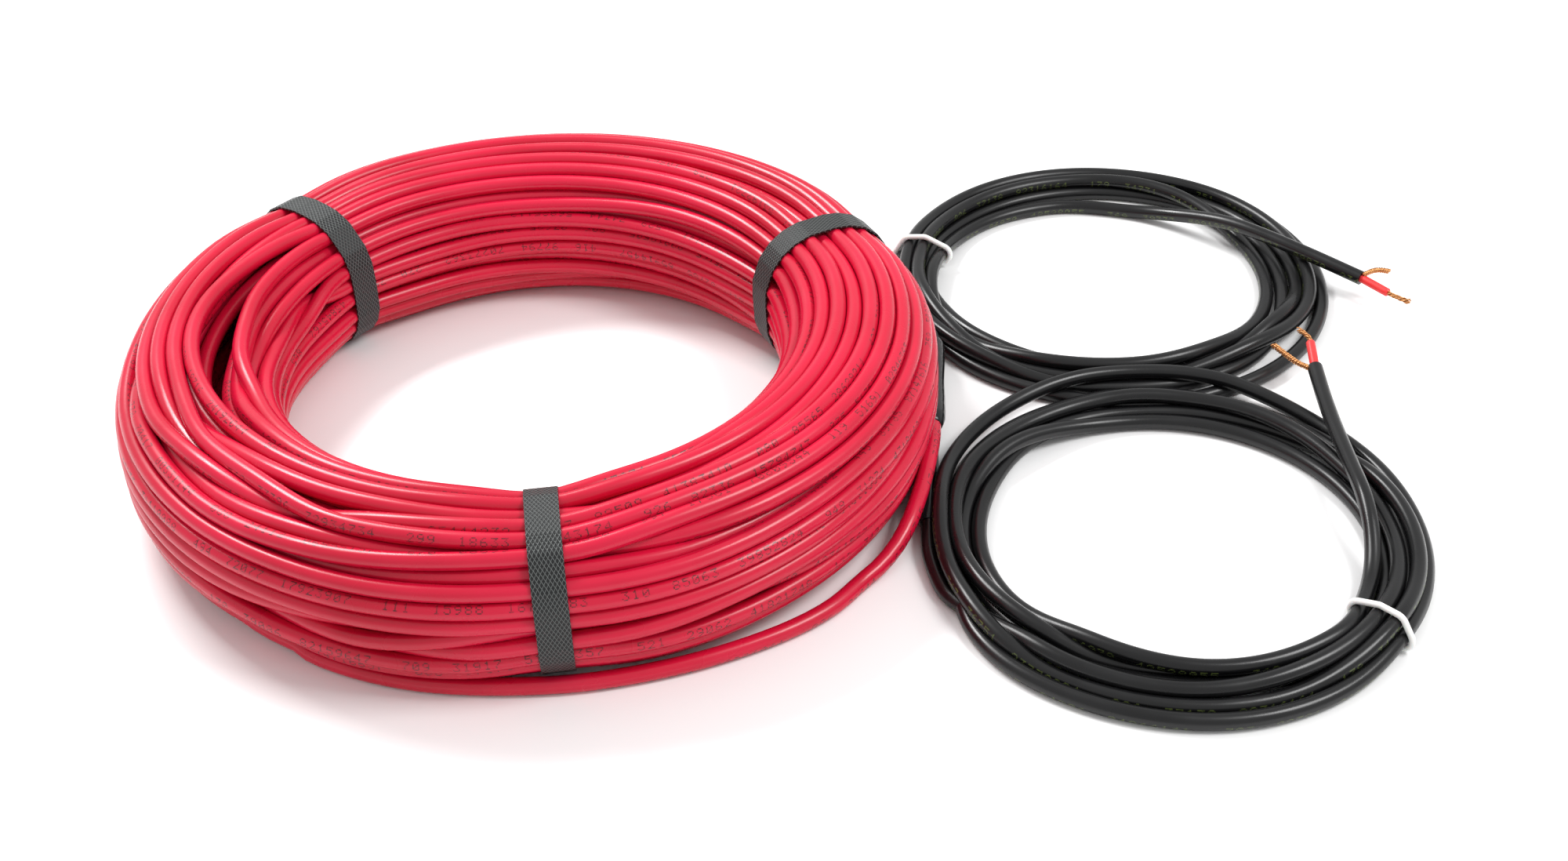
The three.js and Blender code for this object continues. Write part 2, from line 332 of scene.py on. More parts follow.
# %% Pushing the turns apart until they lie still
SETTLE_ROUNDS = 420
TURN_PUSH = 0.42
FIXED_PUSH = 0.8
SECTION_PUSH = 0.6
SPRINGINESS = 0.25
BULGE = 0.0026
SPREAD = 0.00003
FLOOR_UNDER_STRAP = STRAP_THICKNESS + PIECE_GAP


def push_apart(places, reach_floor):
    """One push between all pairs at each station. places is stations by turns by 2."""
    apart = places[:, :, None, :] - places[:, None, :, :]
    distance = np.sqrt((apart ** 2).sum(-1)) + 1e-7
    short = np.maximum(reach_floor - distance, 0)
    np.einsum("sii->si", short)[:] = 0
    return (apart * (short / distance)[..., None]).sum(2)


def push_off_fixed(places):
    push = np.zeros_like(places)
    for row, reach in zip(fixed_rows, fixed_reach):
        apart = places - row[:, None, :]
        distance = np.sqrt((apart ** 2).sum(-1)) + 1e-7
        short = np.maximum(reach[:, None] - distance, 0)
        push += apart * (short / distance)[..., None]
    return push


places = turns_place.transpose(1, 0, 2).copy()
for settle_round in range(SETTLE_ROUNDS):
    places = places + TURN_PUSH * push_apart(places, CABLE_DIAMETER)
    places = places + FIXED_PUSH * push_off_fixed(places)
    outward = places - SECTION_MIDDLE
    places += SPREAD * outward / np.linalg.norm(outward, axis=-1, keepdims=True).clip(0.001)
    chain = places.transpose(1, 0, 2).reshape(-1, 2)
    smooth = chain.copy()
    smooth[1:used - 1] += SPRINGINESS * (chain[:used - 2] - 2 * chain[1:used - 1] + chain[2:used])
    smooth[:3] = FOOT
    smooth[used - 3:used] = FOOT
    places = smooth.reshape(TURNS, STATIONS, 2).transpose(1, 0, 2).copy()
    outside, way = outside_section(places, CABLE_DIAMETER / 2)
    outside = outside - BULGE * (1 - strap_pull)[:, None]
    places -= SECTION_PUSH * np.maximum(outside, 0)[..., None] * way
    floor_height = CABLE_DIAMETER / 2 + FLOOR_UNDER_STRAP * strap_pull
    places[..., 1] = np.maximum(places[..., 1], floor_height[:, None])
    spare = places.transpose(1, 0, 2).reshape(-1, 2)
    spare[used:] = 1.0 + np.arange(TURNS * STATIONS - used)[:, None] * 0.01
    places = spare.reshape(TURNS, STATIONS, 2).transpose(1, 0, 2).copy()
apart = np.linalg.norm(places[:, :, None] - places[:, None], axis=-1)
apart += np.eye(TURNS)[None]
print("closest turns", (apart.min() / MM).round(2), "mm apart, 1 in 100 under",
      (np.percentile(apart.min(-1), 1) / MM).round(2), "mm")

# %% [markdown]
# ## From turns to one cable
# The settled turns are joined end to end with the free stretches, so the whole red cable
# is one line from sleeve to sleeve. A bevelled curve gives the skin its round section,
# and as a mesh it carries a UV map in metres: along the cable, and round it.

# %% The red cable's line
chain = places.transpose(1, 0, 2).reshape(-1, 2)[:used]
chain_angle = np.radians(START_ANGLE + np.arange(used) * 360 / STATIONS)
wound = np.stack([
    chain[:, 0] * np.cos(chain_angle), chain[:, 0] * np.sin(chain_angle), chain[:, 1],
], axis=1)
tail_route = smooth_route(tail_points)[:-1]
loop_route = smooth_route(loop_points)[::-1][1:]
RED_RING_STEP = 0.0052
red_route = even_steps(np.vstack([tail_route, wound, loop_route]), RED_RING_STEP)

# %% A round cable along a line


def curve_object(name, route, diameter, sides, closed=False):
    curve = bpy.data.curves.new(name, "CURVE")
    curve.dimensions = "3D"
    curve.twist_mode = "MINIMUM"
    curve.bevel_depth = diameter / 2
    curve.bevel_resolution = (sides - 4) // 2
    curve.use_fill_caps = not closed
    spline = curve.splines.new("POLY")
    spline.points.add(len(route) - 1)
    spline.points.foreach_set("co", np.hstack([route, np.ones((len(route), 1))]).ravel())
    spline.use_cyclic_u = closed
    return bpy.data.objects.new(name, curve)


def as_mesh_object(name, holder):
    bpy.context.collection.objects.link(holder)
    evaluated = holder.evaluated_get(bpy.context.evaluated_depsgraph_get())
    mesh = bpy.data.meshes.new_from_object(evaluated)
    mesh.name = name
    data = holder.data
    bpy.data.objects.remove(holder)
    bpy.data.curves.remove(data)
    piece = bpy.data.objects.new(name, mesh)
    bpy.context.collection.objects.link(piece)
    return piece


def round_cable(name, route, diameter, sides):
    """A closed tube whose UV map holds metres along the cable and the share round it."""
    piece = as_mesh_object("draft", curve_object("draft", route, diameter, sides))
    piece.name = piece.data.name = name
    uv = piece.data.uv_layers.active or piece.data.uv_layers.new(name="UVMap")
    values = np.zeros(len(piece.data.loops) * 2, np.float32)
    uv.data.foreach_get("uv", values)
    values = values.reshape(-1, 2)
    print(name, "uv", values.min(0), values.max(0), len(piece.data.polygons), "faces")
    values[:, 0] *= run_length(route)
    uv.data.foreach_set("uv", values.ravel())
    piece.data.polygons.foreach_set("use_smooth", [True] * len(piece.data.polygons))
    return piece


RED_SIDES = 12
heating_cable = round_cable("heating_cable", red_route, CABLE_DIAMETER, RED_SIDES)
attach(heating_cable, "root")
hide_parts("heating_cable_coil", "heating_cable_loop", "heating_cable_tail")
print("triangles", sum(len(p.vertices) - 2 for p in heating_cable.data.polygons))

# %% [markdown]
# ## The cold leads
# Each black lead comes out of its sleeve, goes five times round in a loose flat coil and
# leaves the coil across its own turns. Every turn stands a little differently off the
# middle of its coil, so a row gives its distance from the middle and its height at four
# points of the round, in millimetres, and a loop strings the rows together.

# %% Rows of the two lead coils
FRONT_LEAD_CENTRE = np.array([204.0, -70.0]) * MM
REAR_LEAD_CENTRE = np.array([207.0, 82.0]) * MM
FRONT_LEAD_TURNS = [
    ((79.0, 4.0), (70.0, 7.3), (67.5, 7.5), (73.0, 7.0)),
    ((68.5, 7.8), (61.0, 2.6), (62.0, 2.6), (64.4, 2.6)),
    ((68.0, 2.6), (65.4, 2.6), (71.0, 2.6), (78.0, 2.6)),
    ((73.5, 2.6), (80.5, 2.6), (76.5, 3.6), (87.5, 11.0)),
    ((74.0, 8.0), (75.0, 2.6), (72.0, 8.0), (70.0, 2.6)),
    ((63.5, 2.6), (63.5, 7.0), (60.5, 7.5)),
]
REAR_LEAD_TURNS = [
    ((77.0, 2.8), (80.0, 2.6), (76.0, 2.6), (76.5, 2.6)),
    ((76.0, 2.6), (74.5, 2.6), (68.0, 2.6), (58.0, 2.6)),
    ((71.0, 2.6), (69.0, 2.6), (62.5, 2.6), (68.5, 2.6)),
    ((77.0, 7.2), (77.0, 7.2), (71.0, 7.2), (63.3, 2.6)),
    ((73.0, 7.2), (71.0, 7.2), (57.0, 2.6), (61.0, 7.2)),
    ((71.0, 2.6), (58.5, 2.8)),
]
FRONT_START_ROUTE = [[-29.3, 13.2, 3.8], [-32.4, 20.8, 3], [-35.4, 30.6, 2.6], [-36.8, 42.8, 2.8]]
REAR_START_ROUTE = [[19.5, 9.8, 7.2], [22.6, 8.3, 4.2], [26, 9.4, 2.8], [28.5, 15.6, 2.8]]
FRONT_LEAD_MIDDLE = np.array([211.0, -73.0, 0.0]) * MM
REAR_LEAD_MIDDLE = np.array([206.0, 86.0, 0.0]) * MM
FRONT_END_ROUTE = [
    [48, -24.4, 5], [50.8, -16.5, 6.6], [52.4, -8.5, 9.8], [52.9, -0.5, 13.4], [52.8, 9, 15.9],
    [52.6, 23, 16], [52.5, 37, 16], [52.6, 50, 16], [53.1, 65, 16.2], [53.9, 80.5, 16.8],
]
REAR_END_ROUTE = [
    [10, 50.8, 3.6], [22.5, 45.4, 5.6], [33.5, 37.5, 9], [42.5, 29, 12.6], [50, 22, 14.6],
    [60, 12.5, 15.4], [75, -1.7, 15.4], [90.5, -17.5, 15.4],
]

# %% Stringing a lead together


FRONT_TIE_ANGLE = -43
REAR_TIE_ANGLE = 166
FRONT_TIE_RADIUS = 0.070
REAR_TIE_RADIUS = 0.073
GATHER = 0.5
GATHER_REACH = 30


def coil_points(centre, rows, first_angle, last_angle, way, tie_angle, tie_radius):
    """Points round a lead's coil, drawn together at its tie. Rows start next to the red coil."""
    quarter_angles, radii, heights = [], [], []
    for turn, row in enumerate(rows):
        for quarter, (radius, height) in enumerate(row):
            quarter_angles.append(180 + way * (360 * turn + 90 * quarter))
            radii.append(radius * MM)
            heights.append(height * MM)
    knots = np.array(quarter_angles) * way
    fine = np.arange(knots[0], knots[-1] + 0.1, 10.0)
    eased = smooth_route(np.stack([knots * 0.001, radii, heights], axis=1))
    radius = np.interp(fine, eased[:, 0] * 1000, eased[:, 1])
    height = np.interp(fine, eased[:, 0] * 1000, eased[:, 2])
    kept = (fine > first_angle * way) & (fine < last_angle * way)
    gather = GATHER * bump_near(fine * way, tie_angle, GATHER_REACH)
    radius = radius + gather * (tie_radius - radius)
    angle = np.radians(fine[kept] * way)
    return list(np.stack([
        centre[0] + radius[kept] * np.cos(angle), centre[1] + radius[kept] * np.sin(angle), height[kept],
    ], axis=1))


def from_middle(middle, route):
    return [middle + np.array(point) * MM for point in route]


front_points = out_of_sleeve(front_sleeve["red"], front_sleeve["lead"], LEAD_DIAMETER)
front_points += beside_coil_all(FRONT_START_ROUTE)
front_points += coil_points(FRONT_LEAD_CENTRE, FRONT_LEAD_TURNS, 224, 180 + 360 * 5 + 136, 1,
                            FRONT_TIE_ANGLE, FRONT_TIE_RADIUS)
front_points += from_middle(FRONT_LEAD_MIDDLE, FRONT_END_ROUTE)
rear_points = out_of_sleeve(rear_sleeve["red"], rear_sleeve["lead"], LEAD_DIAMETER)
rear_points += beside_coil_all(REAR_START_ROUTE)
rear_points += coil_points(REAR_LEAD_CENTRE, REAR_LEAD_TURNS, 172, 180 - 360 * 5 - 84, -1,
                           REAR_TIE_ANGLE, REAR_TIE_RADIUS)
rear_points += from_middle(REAR_LEAD_MIDDLE, REAR_END_ROUTE)
print("front lead", round(run_length(smooth_route(front_points)), 2), "m, rear lead",
      round(run_length(smooth_route(rear_points)), 2), "m")

# %% [markdown]
# ## Letting the leads settle
# The rows place the turns roughly. Where two stretches run into each other they are
# pushed apart, everything sinks until it rests on the floor or on a turn below, and each
# push is shared with the neighbouring stretch, as a springy cable does. The white ties
# pass under the turns, so the floor is a little higher there.

# %% Ties
TIE_DIAMETER = 0.0020


def tie_place(middle, angle, radius):
    turn = math.radians(angle)
    return np.array([middle[0] + radius * math.cos(turn), middle[1] + radius * math.sin(turn)])


LEAD_COIL_MEAN_RADIUS = 0.067
tie_places = [
    tie_place(FRONT_LEAD_MIDDLE, FRONT_TIE_ANGLE, LEAD_COIL_MEAN_RADIUS),
    tie_place(REAR_LEAD_MIDDLE, REAR_TIE_ANGLE, LEAD_COIL_MEAN_RADIUS),
]
TIE_LIFT_REACH = 0.016


def floor_under(points):
    lift = np.zeros(len(points))
    for place in tie_places:
        away = np.linalg.norm(points[:, :2] - place, axis=1)
        lift = np.maximum(lift, TIE_DIAMETER * np.exp(-(away / TIE_LIFT_REACH) ** 2))
    return lift + LEAD_DIAMETER / 2


# %% Settling both leads together
LEAD_STEP = 0.003
LEAD_ROUNDS = 260
NEAR = 0.0085
leads = [even_steps(smooth_route(points), LEAD_STEP) for points in (front_points, rear_points)]
lead_counts = [len(lead) for lead in leads]
moving = np.vstack(leads)
part_of = np.repeat([0, 1], lead_counts)
rank = np.concatenate([np.arange(count) for count in lead_counts])
beside_leads = red_route[(red_route[:, 0] > 0.095) & (np.hypot(red_route[:, 0], red_route[:, 1]) > 0.122)]
sleeve_lines = [even_steps(np.stack([s["red"], s["lead"]]), LEAD_STEP) for s in (front_sleeve, rear_sleeve)]
still = np.vstack([beside_leads] + sleeve_lines)
still_reach = np.full(len(still), (CABLE_DIAMETER + LEAD_DIAMETER) / 2)
still_reach[len(beside_leads):] = (SLEEVE_DIAMETER + LEAD_DIAMETER) / 2
AT_SLEEVE = 4
LEAD_PUSH = 0.22
STILL_PUSH = 0.4
LEAD_SPRINGINESS = 0.3
CLOSE = 0.0046
SINK = 0.00002
GRIP = 0.35
END_POINTS = 50
held = rank < AT_SLEEVE
ALONG_APART = 9


def near_pairs(a, b, reach):
    squares = (a ** 2).sum(1)[:, None] + (b ** 2).sum(1)[None] - 2 * a @ b.T
    return np.nonzero(squares < reach ** 2)


def straightened(moves):
    """The free end of a lead is too stiff to bend over its short length, so it moves as one piece."""
    steps = np.linspace(0, 1, len(moves))
    slope, level = np.polyfit(steps, moves, 1)
    rigid = level + steps[:, None] * slope
    blend = np.clip(steps * 3, 0, 1)[:, None]
    return moves * (1 - blend) + rigid * blend


start_places = moving.copy()
shift = np.zeros_like(moving)
for settle_round in range(LEAD_ROUNDS):
    now = start_places + shift
    if settle_round % 12 == 0:
        one, other = near_pairs(now, now, NEAR)
        kept = (one < other) & ((part_of[one] != part_of[other]) | (rank[other] - rank[one] > ALONG_APART))
        one, other = one[kept], other[kept]
        free_one, still_one = near_pairs(now, still, NEAR + 0.002)
        kept = rank[free_one] > AT_SLEEVE + 3
        free_one, still_one = free_one[kept], still_one[kept]
    push = np.zeros_like(now)
    apart = now[one] - now[other]
    distance = np.linalg.norm(apart, axis=1) + 1e-9
    short = np.maximum(LEAD_DIAMETER - distance, 0)
    force = apart * (short / distance)[:, None] * LEAD_PUSH
    np.add.at(push, one, force)
    np.add.at(push, other, -force)
    apart = now[free_one] - still[still_one]
    distance = np.linalg.norm(apart, axis=1) + 1e-9
    short = np.maximum(still_reach[still_one] - distance, 0)
    np.add.at(push, free_one, apart * (short / distance)[:, None] * STILL_PUSH)
    push[:, :2] *= GRIP
    push[:, 2] -= SINK
    push[held] = 0
    shift = shift + push
    eased = shift.copy()
    eased[1:-1] += LEAD_SPRINGINESS * (shift[:-2] - 2 * shift[1:-1] + shift[2:])
    joint = lead_counts[0]
    eased[joint - 1] = shift[joint - 1]
    eased[joint] = shift[joint]
    shift = eased
    for last in np.cumsum(lead_counts):
        shift[last - END_POINTS:last] = straightened(shift[last - END_POINTS:last])
    shift[held] = 0
    now = start_places + shift
    now[:, 2] = np.maximum(now[:, 2], floor_under(now))
    now[held] = start_places[held]
    shift = now - start_places
settled = [now[:lead_counts[0]], now[lead_counts[0]:]]
one, other = near_pairs(now, now, CLOSE)
tight = (one < other) & ((part_of[one] != part_of[other]) | (rank[other] - rank[one] > ALONG_APART))
print("pairs of lead points closer than 4.6 mm:", int(tight.sum()))
print("highest lead point", (now[:, 2].max() / MM).round(1), "mm")

# %% The two leads as round cables
LEAD_SIDES = 16
LEAD_RING_STEP = 0.002


def softened(route, rounds):
    """Takes small kinks out of a settled line, with its ends kept."""
    for _ in range(rounds):
        route[1:-1] += 0.25 * (route[:-2] - 2 * route[1:-1] + route[2:])
    return route


lead_routes = [even_steps(smooth_route(softened(line, 4), 4), LEAD_RING_STEP) for line in settled]
lead_cables = []
for side, route in zip(("front", "rear"), lead_routes):
    lead = round_cable(f"{side}_cold_lead", route, LEAD_DIAMETER, LEAD_SIDES)
    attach(lead, "root")
    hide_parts(f"{side}_lead_start", f"{side}_lead_coil", f"{side}_lead_end")
    lead_cables.append(lead)

# %% [markdown]
# ## Straps
# Each strap is a flat woven band drawn tight round the bundle. It touches only the
# outermost turns and runs straight between them, so its line is the outline that a taut
# string round those turns would have. The line is extruded across the strap's width and
# given its thickness.

# %% The outline of a taut band round some cables


def taut_outline(centres, radius, step_degrees=4):
    """A closed line round equal discs, as a taut string lies, with points a few degrees apart."""
    outline = []
    for angle in np.radians(np.arange(0, 360, step_degrees)):
        way = np.array([math.cos(angle), math.sin(angle)])
        outline.append(centres[np.argmax(centres @ way)] + radius * way)
    return np.array(outline)


def turns_at(angle, half_width):
    """Radius and height of every turn in the straight plane of a strap, also at its edges."""
    near = [((angle + side * half_width - START_ANGLE) % 360) / 360 * STATIONS for side in (-1, 0, 1)]
    found = []
    for station in near:
        rows = places[int(round(station)) % STATIONS]
        found.append(rows[rows[:, 0] < 0.2])
    return np.vstack(found)


def strap_band(name, angle):
    half_degrees = math.degrees(STRAP_WIDTH / 2 / SECTION_MIDDLE[0])
    outline = taut_outline(turns_at(angle, half_degrees), CABLE_DIAMETER / 2 + PIECE_GAP / 2)
    outline[:, 1] = np.maximum(outline[:, 1], STRAP_THICKNESS)
    turn = math.radians(angle)
    outward = Vector((math.cos(turn), math.sin(turn), 0))
    across = Vector((-math.sin(turn), math.cos(turn), 0))
    shape = bmesh.new()
    along_layer = shape.verts.layers.float.new("along")
    length = 0.0
    rim = []
    for index, (radius, height) in enumerate(outline):
        if index:
            length += float(np.linalg.norm(outline[index] - outline[index - 1]))
        vert = shape.verts.new(outward * radius + Vector((0, 0, height)) - across * STRAP_WIDTH / 2)
        vert[along_layer] = length
        rim.append(vert)
    length += float(np.linalg.norm(outline[0] - outline[-1]))
    edges = [shape.edges.new((rim[i - 1], rim[i])) for i in range(len(rim))]
    for _ in range(4):
        grown = bmesh.ops.extrude_edge_only(shape, edges=edges)["geom"]
        moved = [g for g in grown if isinstance(g, bmesh.types.BMVert)]
        edges = [g for g in grown if isinstance(g, bmesh.types.BMEdge)]
        moved_set = set(moved)
        edges = [e for e in edges if e.verts[0] in moved_set and e.verts[1] in moved_set]
        bmesh.ops.translate(shape, vec=across * STRAP_WIDTH / 4, verts=moved)
    bmesh.ops.recalc_face_normals(shape, faces=shape.faces[:])
    middle = outward * SECTION_MIDDLE[0] + Vector((0, 0, SECTION_MIDDLE[1]))
    sample = shape.faces[0]
    if sample.normal.dot(sample.calc_center_median() - middle) < 0:
        bmesh.ops.reverse_faces(shape, faces=shape.faces[:])
    bmesh.ops.solidify(shape, geom=shape.faces[:], thickness=-STRAP_THICKNESS)
    bmesh.ops.recalc_face_normals(shape, faces=shape.faces[:])
    uv_layer = shape.loops.layers.uv.new("UVMap")
    for face in shape.faces:
        along = [loop.vert[along_layer] for loop in face.loops]
        wraps = max(along) - min(along) > length / 2
        for loop, value in zip(face.loops, along):
            value = value + length if wraps and value < length / 2 else value
            loop[uv_layer].uv = (value, loop.vert.co.dot(across) + STRAP_WIDTH / 2)
        face.smooth = True
    mesh = bpy.data.meshes.new(name)
    shape.to_mesh(mesh)
    shape.free()
    mesh.set_sharp_from_angle(angle=math.radians(50))
    strap = bpy.data.objects.new(name, mesh)
    bpy.context.collection.objects.link(strap)
    return strap


straps = []
for node_name, angle in STRAP_ANGLES.items():
    strap = strap_band(node_name.replace("strap_", "woven_strap_"), angle)
    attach(strap, "root")
    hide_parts(node_name)
    straps.append(strap)
    print(strap.name, len(strap.data.polygons), "faces")

# %% [markdown]
# ## Ties
# A white plastic-covered wire holds each lead coil together at one place. It is a closed
# round ring that lies taut round the turns there.

# %% White ties


def lead_turns_at(line, middle, angle, reach=(0.048, 0.086)):
    """Distance and height of every turn of a lead where it passes the plane of its tie."""
    turn = math.radians(angle)
    outward = np.array([math.cos(turn), math.sin(turn)])
    across = np.array([-outward[1], outward[0]])
    flat = line[:, :2] - middle[:2]
    side = flat @ across
    out = flat @ outward
    crossing = np.nonzero((side[:-1] * side[1:] <= 0) & (out[:-1] > reach[0]) & (out[:-1] < reach[1]))[0]
    return np.stack([out[crossing], line[crossing, 2]], axis=1)


def tie_ring(name, line, middle, angle):
    turns = lead_turns_at(line, middle, angle)
    turns = turns[turns[:, 0] < np.median(turns[:, 0]) + 0.0125]
    outline = taut_outline(turns, (LEAD_DIAMETER + TIE_DIAMETER) / 2, 10)
    outline[:, 1] = np.maximum(outline[:, 1], TIE_DIAMETER / 2)
    turn = math.radians(angle)
    out = outline[:, 0]
    ring = np.stack([
        middle[0] + out * math.cos(turn), middle[1] + out * math.sin(turn), outline[:, 1],
    ], axis=1)
    steps = np.linalg.norm(np.roll(ring, -1, axis=0) - ring, axis=1)
    ring = ring[steps > 0.0003]
    piece = as_mesh_object("draft", curve_object("draft", ring, TIE_DIAMETER, 12, closed=True))
    piece.name = piece.data.name = name
    piece.data.polygons.foreach_set("use_smooth", [True] * len(piece.data.polygons))
    print(name, "round", len(turns), "turns")
    return piece


ties = []
for side, route, middle, angle in (
    ("front", lead_routes[0], FRONT_LEAD_MIDDLE, FRONT_TIE_ANGLE),
    ("rear", lead_routes[1], REAR_LEAD_MIDDLE, REAR_TIE_ANGLE),
):
    tie = tie_ring(f"{side}_white_tie", route, middle, angle)
    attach(tie, "root")
    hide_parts(f"{side}_lead_tie")
    ties.append(tie)

# %% [markdown]
# ## Turned pieces that lie along a line
# A splice sleeve and a stripped core are round pieces with a changing radius. A circle
# is extruded along the line, and every new ring is scaled to its radius.

# %% A turned piece along a line


def turned_along(name, start, way, profile, sides=32):
    """profile is rows of distance and radius in metres, from one closed end to the other."""
    shape = bmesh.new()
    first_distance, first_radius = profile[0]
    bmesh.ops.create_circle(shape, cap_ends=True, segments=sides, radius=first_radius)
    bmesh.ops.translate(shape, vec=(0, 0, first_distance), verts=shape.verts[:])
    face = shape.faces[:][0]
    for (before, old), (distance, radius) in zip(profile[:-1], profile[1:]):
        result = bmesh.ops.extrude_face_region(shape, geom=[face])["geom"]
        verts = [g for g in result if isinstance(g, bmesh.types.BMVert)]
        new_face = [g for g in result if isinstance(g, bmesh.types.BMFace)][0]
        if face.is_valid:
            bmesh.ops.delete(shape, geom=[face], context="FACES_ONLY")
        face = new_face
        bmesh.ops.translate(shape, vec=(0, 0, distance - before), verts=verts)
        bmesh.ops.scale(shape, vec=(radius / old, radius / old, 1), verts=verts)
    bottom = [v for v in shape.verts if abs(v.co.z - first_distance) < 1e-9]
    ring = {e for v in bottom for e in v.link_edges if e.is_boundary}
    if ring:
        bmesh.ops.contextual_create(shape, geom=list(ring))
    bmesh.ops.recalc_face_normals(shape, faces=shape.faces[:])
    turn = Vector(way).to_track_quat("Z", "Y").to_matrix().to_4x4()
    bmesh.ops.transform(shape, matrix=Matrix.Translation(Vector(start)) @ turn, verts=shape.verts[:])
    for face in shape.faces:
        face.smooth = len(face.verts) == 4
    mesh = bpy.data.meshes.new(name)
    shape.to_mesh(mesh)
    shape.free()
    mesh.set_sharp_from_angle(angle=math.radians(40))
    piece = bpy.data.objects.new(name, mesh)
    bpy.context.collection.objects.link(piece)
    return piece


# %% [markdown]
# ## Splice sleeves
# Heat-shrink tube over the joint between cable and lead: it is glossy, narrows at both
# ends where it has shrunk onto the cable, and is drawn into shallow wrinkles there.

# %% Sleeves
SLEEVE_END_RADIUS = 0.0032
SLEEVE_TAPER = 0.005
sleeves = []
for side, ends in (("front", front_sleeve), ("rear", rear_sleeve)):
    length = float(np.linalg.norm(ends["lead"] - ends["red"]))
    profile = [(0.0, 0.0027), (0.0003, SLEEVE_END_RADIUS - 0.0002)]
    for distance in np.linspace(0.0009, length - 0.0009, 60):
        from_end = min(distance, length - distance)
        rise = min(1.0, from_end / SLEEVE_TAPER)
        rise = rise * rise * (3 - 2 * rise)
        wrinkle = 0.00012 * math.sin(distance / 0.00115) * math.exp(-from_end / 0.006)
        joint = 0.00025 * math.exp(-((distance - length / 2) / 0.009) ** 2)
        radius = SLEEVE_END_RADIUS + (SLEEVE_DIAMETER / 2 - SLEEVE_END_RADIUS) * rise
        profile.append((distance, radius + wrinkle - joint))
    profile += [(length - 0.0003, SLEEVE_END_RADIUS - 0.0002), (length, 0.0027)]
    sleeve = turned_along(f"{side}_splice_tube", ends["red"], ends["lead"] - ends["red"], profile)
    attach(sleeve, "root")
    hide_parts(f"splice_sleeve_{side}")
    sleeves.append(sleeve)
    print(sleeve.name, round(length / MM, 1), "mm")

# %% [markdown]
# ## Bared ends
# The black sheath is cut back. The red core goes on from the cut, with its stranded
# copper conductor sticking out and bent aside. The screen wires were gathered and twisted
# into a cord of their own. Strands are many thin wires, each a helix round the bundle's
# line, joined into one mesh.

# %% Twisted wires along a line


def twisted_wires(name, line, bundle_radius, wire_radius, wires, turns, splay=0.0, sides=6):
    """Thin wires wound round a line. Towards the end they spread apart by the splay."""
    line = even_steps(smooth_route(line), 0.0004)
    tangent = np.gradient(line, axis=0)
    tangent /= np.linalg.norm(tangent, axis=1, keepdims=True)
    side = np.cross(tangent, np.array([0.21, 0.13, 1.0]))
    side /= np.linalg.norm(side, axis=1, keepdims=True)
    up = np.cross(side, tangent)
    share_along = np.linspace(0, 1, len(line))
    joined = bmesh.new()
    for wire in range(wires):
        layer = 0.25 if wire % 3 == 0 else 1.0
        phase = 2 * math.pi * wire / wires + dice.uniform(-0.25, 0.25)
        cut = len(line) - int(dice.integers(0, 4))
        spread = splay * np.clip(share_along - 0.6, 0, 1) ** 2 * dice.uniform(2, 7)
        radius = bundle_radius * layer * (1 + spread)
        radius = radius * (1 + 0.12 * np.sin(share_along * 9 + phase * 3))
        angle = phase + 2 * math.pi * turns * share_along
        helix = line + side * (radius * np.cos(angle))[:, None] + up * (radius * np.sin(angle))[:, None]
        part = as_mesh_object("draft", curve_object("draft", helix[:cut], wire_radius * 2, sides))
        joined.from_mesh(part.data)
        bpy.data.objects.remove(part)
    mesh = bpy.data.meshes.new(name)
    joined.to_mesh(mesh)
    joined.free()
    mesh.polygons.foreach_set("use_smooth", [True] * len(mesh.polygons))
    piece = bpy.data.objects.new(name, mesh)
    bpy.context.collection.objects.link(piece)
    return piece


